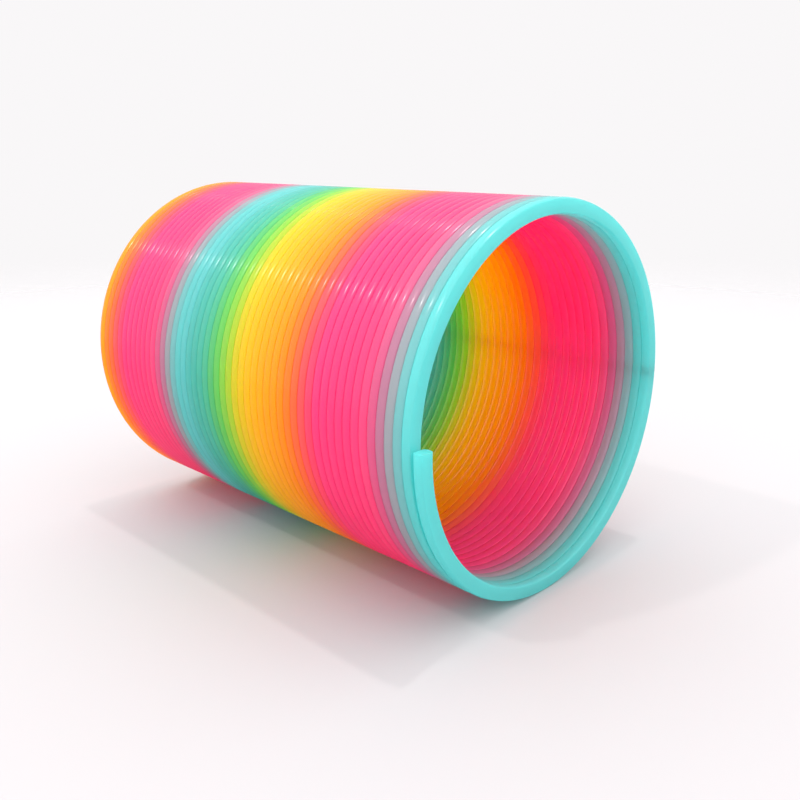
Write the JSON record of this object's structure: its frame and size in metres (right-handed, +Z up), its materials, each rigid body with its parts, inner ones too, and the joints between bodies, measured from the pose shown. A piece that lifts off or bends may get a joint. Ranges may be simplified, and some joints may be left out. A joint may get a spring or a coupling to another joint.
{
  "type": "spring coil toy",
  "caption": "Rainbow plastic spring coil toy lying on its side, closed, with a free cut tip; it stretches along its axis and arches sideways.",
  "frame": {"origin": "centre of the closed coil's bounding box, on the surface that it rests on", "axes": "+Y along the coil's axis, towards the end with the free front tip; +Z up; the free tip is on the +X side and the turns swing apart about the -X side"},
  "size_m": [0.075, 0.1036, 0.075],
  "materials": {
    "turquoise": "glossy, slightly translucent moulded plastic",
    "turquoise_pale": "glossy, slightly translucent moulded plastic",
    "silver_lilac": "glossy, slightly translucent moulded plastic",
    "rose": "glossy, slightly translucent moulded plastic",
    "pink": "glossy, slightly translucent moulded plastic",
    "pink_deep": "glossy, slightly translucent moulded plastic",
    "coral": "glossy, slightly translucent moulded plastic",
    "orange": "glossy, slightly translucent moulded plastic",
    "amber": "glossy, slightly translucent moulded plastic",
    "yellow": "glossy, slightly translucent moulded plastic",
    "lime": "glossy, slightly translucent moulded plastic",
    "mint": "glossy, slightly translucent moulded plastic"
  },
  "bodies": {
    "front_end": {"front_end": "turquoise_pale"},
    "turn_01": {"turn_01": "silver_lilac"},
    "turn_02": {"turn_02": "silver_lilac"},
    "turn_03": {"turn_03": "silver_lilac"},
    "turn_04": {"turn_04": "rose"},
    "turn_05": {"turn_05": "rose"},
    "turn_06": {"turn_06": "pink"},
    "turn_07": {"turn_07": "pink"},
    "turn_08": {"turn_08": "pink"},
    "turn_09": {"turn_09": "pink_deep"},
    "turn_10": {"turn_10": "pink_deep"},
    "turn_11": {"turn_11": "pink_deep"},
    "turn_12": {"turn_12": "coral"},
    "turn_13": {"turn_13": "coral"},
    "turn_14": {"turn_14": "coral"},
    "turn_15": {"turn_15": "orange"},
    "turn_16": {"turn_16": "orange"},
    "turn_17": {"turn_17": "amber"},
    "turn_18": {"turn_18": "amber"},
    "turn_19": {"turn_19": "amber"},
    "turn_20": {"turn_20": "yellow"},
    "turn_21": {"turn_21": "yellow"},
    "turn_22": {"turn_22": "yellow"},
    "turn_23": {"turn_23": "lime"},
    "turn_24": {"turn_24": "lime"},
    "turn_25": {"turn_25": "lime"},
    "turn_26": {"turn_26": "mint"},
    "turn_27": {"turn_27": "mint"},
    "turn_28": {"turn_28": "turquoise"},
    "turn_29": {"turn_29": "turquoise"},
    "turn_30": {"turn_30": "turquoise"},
    "turn_31": {"turn_31": "turquoise_pale"},
    "turn_32": {"turn_32": "turquoise_pale"},
    "turn_33": {"turn_33": "turquoise_pale"},
    "turn_34": {"turn_34": "silver_lilac"},
    "turn_35": {"turn_35": "silver_lilac"},
    "turn_36": {"turn_36": "silver_lilac"},
    "turn_37": {"turn_37": "rose"},
    "turn_38": {"turn_38": "rose"},
    "turn_39": {"turn_39": "pink"},
    "turn_40": {"turn_40": "pink"},
    "turn_41": {"turn_41": "pink"},
    "turn_42": {"turn_42": "pink_deep"},
    "turn_43": {"turn_43": "pink_deep"},
    "turn_44": {"turn_44": "pink_deep"},
    "turn_45": {"turn_45": "coral"},
    "turn_46": {"turn_46": "coral"},
    "turn_47": {"turn_47": "coral"},
    "turn_48": {"turn_48": "orange"},
    "turn_49": {"turn_49": "orange"},
    "back_end": {"back_end": "amber"}
  },
  "joints": [
    {"name": "stretch_00", "type": "slide", "parent": "turn_01", "child": "front_end", "axis": [0, 1, 0], "range_m": [0, 0.03], "stiffness_N_per_m": 7.47},
    {"name": "arch_01", "type": "hinge", "parent": "turn_02", "child": "turn_01", "pos_m": [-0.0375, 0.0472, 0.03748], "axis": [0, 0, 1], "range_deg": [0, 7.5], "stiffness_Nm_per_rad": 0.0165},
    {"name": "stretch_02", "type": "slide", "parent": "turn_03", "child": "turn_02", "axis": [0, 1, 0], "range_m": [0, 0.04], "stiffness_N_per_m": 5.6},
    {"name": "arch_03", "type": "hinge", "parent": "turn_04", "child": "turn_03", "pos_m": [-0.0375, 0.0432, 0.03748], "axis": [0, 0, 1], "range_deg": [0, 7.5], "stiffness_Nm_per_rad": 0.0165},
    {"name": "stretch_04", "type": "slide", "parent": "turn_05", "child": "turn_04", "axis": [0, 1, 0], "range_m": [0, 0.04], "stiffness_N_per_m": 5.6},
    {"name": "arch_05", "type": "hinge", "parent": "turn_06", "child": "turn_05", "pos_m": [-0.0375, 0.0392, 0.03748], "axis": [0, 0, 1], "range_deg": [0, 7.5], "stiffness_Nm_per_rad": 0.0165},
    {"name": "stretch_06", "type": "slide", "parent": "turn_07", "child": "turn_06", "axis": [0, 1, 0], "range_m": [0, 0.04], "stiffness_N_per_m": 5.6},
    {"name": "arch_07", "type": "hinge", "parent": "turn_08", "child": "turn_07", "pos_m": [-0.0375, 0.0352, 0.03748], "axis": [0, 0, 1], "range_deg": [0, 7.5], "stiffness_Nm_per_rad": 0.0165},
    {"name": "stretch_08", "type": "slide", "parent": "turn_09", "child": "turn_08", "axis": [0, 1, 0], "range_m": [0, 0.04], "stiffness_N_per_m": 5.6},
    {"name": "arch_09", "type": "hinge", "parent": "turn_10", "child": "turn_09", "pos_m": [-0.0375, 0.0312, 0.03748], "axis": [0, 0, 1], "range_deg": [0, 7.5], "stiffness_Nm_per_rad": 0.0165},
    {"name": "stretch_10", "type": "slide", "parent": "turn_11", "child": "turn_10", "axis": [0, 1, 0], "range_m": [0, 0.04], "stiffness_N_per_m": 5.6},
    {"name": "arch_11", "type": "hinge", "parent": "turn_12", "child": "turn_11", "pos_m": [-0.0375, 0.0272, 0.03748], "axis": [0, 0, 1], "range_deg": [0, 7.5], "stiffness_Nm_per_rad": 0.0165},
    {"name": "stretch_12", "type": "slide", "parent": "turn_13", "child": "turn_12", "axis": [0, 1, 0], "range_m": [0, 0.04], "stiffness_N_per_m": 5.6},
    {"name": "arch_13", "type": "hinge", "parent": "turn_14", "child": "turn_13", "pos_m": [-0.0375, 0.0232, 0.03748], "axis": [0, 0, 1], "range_deg": [0, 7.5], "stiffness_Nm_per_rad": 0.0165},
    {"name": "stretch_14", "type": "slide", "parent": "turn_15", "child": "turn_14", "axis": [0, 1, 0], "range_m": [0, 0.04], "stiffness_N_per_m": 5.6},
    {"name": "arch_15", "type": "hinge", "parent": "turn_16", "child": "turn_15", "pos_m": [-0.0375, 0.0192, 0.03748], "axis": [0, 0, 1], "range_deg": [0, 7.5], "stiffness_Nm_per_rad": 0.0165},
    {"name": "stretch_16", "type": "slide", "parent": "turn_17", "child": "turn_16", "axis": [0, 1, 0], "range_m": [0, 0.04], "stiffness_N_per_m": 5.6},
    {"name": "arch_17", "type": "hinge", "parent": "turn_18", "child": "turn_17", "pos_m": [-0.0375, 0.0152, 0.03748], "axis": [0, 0, 1], "range_deg": [0, 7.5], "stiffness_Nm_per_rad": 0.0165},
    {"name": "stretch_18", "type": "slide", "parent": "turn_19", "child": "turn_18", "axis": [0, 1, 0], "range_m": [0, 0.04], "stiffness_N_per_m": 5.6},
    {"name": "arch_19", "type": "hinge", "parent": "turn_20", "child": "turn_19", "pos_m": [-0.0375, 0.0112, 0.03748], "axis": [0, 0, 1], "range_deg": [0, 7.5], "stiffness_Nm_per_rad": 0.0165},
    {"name": "stretch_20", "type": "slide", "parent": "turn_21", "child": "turn_20", "axis": [0, 1, 0], "range_m": [0, 0.04], "stiffness_N_per_m": 5.6},
    {"name": "arch_21", "type": "hinge", "parent": "turn_22", "child": "turn_21", "pos_m": [-0.0375, 0.0072, 0.03748], "axis": [0, 0, 1], "range_deg": [0, 7.5], "stiffness_Nm_per_rad": 0.0165},
    {"name": "stretch_22", "type": "slide", "parent": "turn_23", "child": "turn_22", "axis": [0, 1, 0], "range_m": [0, 0.04], "stiffness_N_per_m": 5.6},
    {"name": "arch", "type": "hinge", "parent": "turn_24", "child": "turn_23", "pos_m": [-0.0375, 0.0032, 0.03748], "axis": [0, 0, 1], "range_deg": [0, 7.5], "stiffness_Nm_per_rad": 0.0165},
    {"name": "stretch", "type": "slide", "parent": "turn_24", "child": "turn_25", "axis": [0, -1, 0], "range_m": [0, 0.04], "stiffness_N_per_m": 5.6},
    {"name": "arch_25", "type": "hinge", "parent": "turn_25", "child": "turn_26", "pos_m": [-0.0375, -0.0008, 0.03748], "axis": [0, 0, -1], "range_deg": [0, 7.5], "stiffness_Nm_per_rad": 0.0165},
    {"name": "stretch_26", "type": "slide", "parent": "turn_26", "child": "turn_27", "axis": [0, -1, 0], "range_m": [0, 0.04], "stiffness_N_per_m": 5.6},
    {"name": "arch_27", "type": "hinge", "parent": "turn_27", "child": "turn_28", "pos_m": [-0.0375, -0.0048, 0.03748], "axis": [0, 0, -1], "range_deg": [0, 7.5], "stiffness_Nm_per_rad": 0.0165},
    {"name": "stretch_28", "type": "slide", "parent": "turn_28", "child": "turn_29", "axis": [0, -1, 0], "range_m": [0, 0.04], "stiffness_N_per_m": 5.6},
    {"name": "arch_29", "type": "hinge", "parent": "turn_29", "child": "turn_30", "pos_m": [-0.0375, -0.0088, 0.03748], "axis": [0, 0, -1], "range_deg": [0, 7.5], "stiffness_Nm_per_rad": 0.0165},
    {"name": "stretch_30", "type": "slide", "parent": "turn_30", "child": "turn_31", "axis": [0, -1, 0], "range_m": [0, 0.04], "stiffness_N_per_m": 5.6},
    {"name": "arch_31", "type": "hinge", "parent": "turn_31", "child": "turn_32", "pos_m": [-0.0375, -0.0128, 0.03748], "axis": [0, 0, -1], "range_deg": [0, 7.5], "stiffness_Nm_per_rad": 0.0165},
    {"name": "stretch_32", "type": "slide", "parent": "turn_32", "child": "turn_33", "axis": [0, -1, 0], "range_m": [0, 0.04], "stiffness_N_per_m": 5.6},
    {"name": "arch_33", "type": "hinge", "parent": "turn_33", "child": "turn_34", "pos_m": [-0.0375, -0.0168, 0.03748], "axis": [0, 0, -1], "range_deg": [0, 7.5], "stiffness_Nm_per_rad": 0.0165},
    {"name": "stretch_34", "type": "slide", "parent": "turn_34", "child": "turn_35", "axis": [0, -1, 0], "range_m": [0, 0.04], "stiffness_N_per_m": 5.6},
    {"name": "arch_35", "type": "hinge", "parent": "turn_35", "child": "turn_36", "pos_m": [-0.0375, -0.0208, 0.03748], "axis": [0, 0, -1], "range_deg": [0, 7.5], "stiffness_Nm_per_rad": 0.0165},
    {"name": "stretch_36", "type": "slide", "parent": "turn_36", "child": "turn_37", "axis": [0, -1, 0], "range_m": [0, 0.04], "stiffness_N_per_m": 5.6},
    {"name": "arch_37", "type": "hinge", "parent": "turn_37", "child": "turn_38", "pos_m": [-0.0375, -0.0248, 0.03748], "axis": [0, 0, -1], "range_deg": [0, 7.5], "stiffness_Nm_per_rad": 0.0165},
    {"name": "stretch_38", "type": "slide", "parent": "turn_38", "child": "turn_39", "axis": [0, -1, 0], "range_m": [0, 0.04], "stiffness_N_per_m": 5.6},
    {"name": "arch_39", "type": "hinge", "parent": "turn_39", "child": "turn_40", "pos_m": [-0.0375, -0.0288, 0.03748], "axis": [0, 0, -1], "range_deg": [0, 7.5], "stiffness_Nm_per_rad": 0.0165},
    {"name": "stretch_40", "type": "slide", "parent": "turn_40", "child": "turn_41", "axis": [0, -1, 0], "range_m": [0, 0.04], "stiffness_N_per_m": 5.6},
    {"name": "arch_41", "type": "hinge", "parent": "turn_41", "child": "turn_42", "pos_m": [-0.0375, -0.0328, 0.03748], "axis": [0, 0, -1], "range_deg": [0, 7.5], "stiffness_Nm_per_rad": 0.0165},
    {"name": "stretch_42", "type": "slide", "parent": "turn_42", "child": "turn_43", "axis": [0, -1, 0], "range_m": [0, 0.04], "stiffness_N_per_m": 5.6},
    {"name": "arch_43", "type": "hinge", "parent": "turn_43", "child": "turn_44", "pos_m": [-0.0375, -0.0368, 0.03748], "axis": [0, 0, -1], "range_deg": [0, 7.5], "stiffness_Nm_per_rad": 0.0165},
    {"name": "stretch_44", "type": "slide", "parent": "turn_44", "child": "turn_45", "axis": [0, -1, 0], "range_m": [0, 0.04], "stiffness_N_per_m": 5.6},
    {"name": "arch_45", "type": "hinge", "parent": "turn_45", "child": "turn_46", "pos_m": [-0.0375, -0.0408, 0.03748], "axis": [0, 0, -1], "range_deg": [0, 7.5], "stiffness_Nm_per_rad": 0.0165},
    {"name": "stretch_46", "type": "slide", "parent": "turn_46", "child": "turn_47", "axis": [0, -1, 0], "range_m": [0, 0.04], "stiffness_N_per_m": 5.6},
    {"name": "arch_47", "type": "hinge", "parent": "turn_47", "child": "turn_48", "pos_m": [-0.0375, -0.0448, 0.03748], "axis": [0, 0, -1], "range_deg": [0, 7.5], "stiffness_Nm_per_rad": 0.0165},
    {"name": "stretch_48", "type": "slide", "parent": "turn_48", "child": "turn_49", "axis": [0, -1, 0], "range_m": [0, 0.04], "stiffness_N_per_m": 5.6},
    {"name": "stretch_49", "type": "slide", "parent": "turn_49", "child": "back_end", "axis": [0, -1, 0], "range_m": [0, 0.02], "stiffness_N_per_m": 11.2}
  ],
  "couplings": [
    {"joint": "stretch_00", "follows": "stretch", "ratio": 0.75},
    {"joint": "arch_01", "follows": "arch", "ratio": 1},
    {"joint": "stretch_02", "follows": "stretch", "ratio": 1},
    {"joint": "arch_03", "follows": "arch", "ratio": 1},
    {"joint": "stretch_04", "follows": "stretch", "ratio": 1},
    {"joint": "arch_05", "follows": "arch", "ratio": 1},
    {"joint": "stretch_06", "follows": "stretch", "ratio": 1},
    {"joint": "arch_07", "follows": "arch", "ratio": 1},
    {"joint": "stretch_08", "follows": "stretch", "ratio": 1},
    {"joint": "arch_09", "follows": "arch", "ratio": 1},
    {"joint": "stretch_10", "follows": "stretch", "ratio": 1},
    {"joint": "arch_11", "follows": "arch", "ratio": 1},
    {"joint": "stretch_12", "follows": "stretch", "ratio": 1},
    {"joint": "arch_13", "follows": "arch", "ratio": 1},
    {"joint": "stretch_14", "follows": "stretch", "ratio": 1},
    {"joint": "arch_15", "follows": "arch", "ratio": 1},
    {"joint": "stretch_16", "follows": "stretch", "ratio": 1},
    {"joint": "arch_17", "follows": "arch", "ratio": 1},
    {"joint": "stretch_18", "follows": "stretch", "ratio": 1},
    {"joint": "arch_19", "follows": "arch", "ratio": 1},
    {"joint": "stretch_20", "follows": "stretch", "ratio": 1},
    {"joint": "arch_21", "follows": "arch", "ratio": 1},
    {"joint": "stretch_22", "follows": "stretch", "ratio": 1},
    {"joint": "arch_25", "follows": "arch", "ratio": 1},
    {"joint": "stretch_26", "follows": "stretch", "ratio": 1},
    {"joint": "arch_27", "follows": "arch", "ratio": 1},
    {"joint": "stretch_28", "follows": "stretch", "ratio": 1},
    {"joint": "arch_29", "follows": "arch", "ratio": 1},
    {"joint": "stretch_30", "follows": "stretch", "ratio": 1},
    {"joint": "arch_31", "follows": "arch", "ratio": 1},
    {"joint": "stretch_32", "follows": "stretch", "ratio": 1},
    {"joint": "arch_33", "follows": "arch", "ratio": 1},
    {"joint": "stretch_34", "follows": "stretch", "ratio": 1},
    {"joint": "arch_35", "follows": "arch", "ratio": 1},
    {"joint": "stretch_36", "follows": "stretch", "ratio": 1},
    {"joint": "arch_37", "follows": "arch", "ratio": 1},
    {"joint": "stretch_38", "follows": "stretch", "ratio": 1},
    {"joint": "arch_39", "follows": "arch", "ratio": 1},
    {"joint": "stretch_40", "follows": "stretch", "ratio": 1},
    {"joint": "arch_41", "follows": "arch", "ratio": 1},
    {"joint": "stretch_42", "follows": "stretch", "ratio": 1},
    {"joint": "arch_43", "follows": "arch", "ratio": 1},
    {"joint": "stretch_44", "follows": "stretch", "ratio": 1},
    {"joint": "arch_45", "follows": "arch", "ratio": 1},
    {"joint": "stretch_46", "follows": "stretch", "ratio": 1},
    {"joint": "arch_47", "follows": "arch", "ratio": 1},
    {"joint": "stretch_48", "follows": "stretch", "ratio": 1},
    {"joint": "stretch_49", "follows": "stretch", "ratio": 0.5}
  ]
}
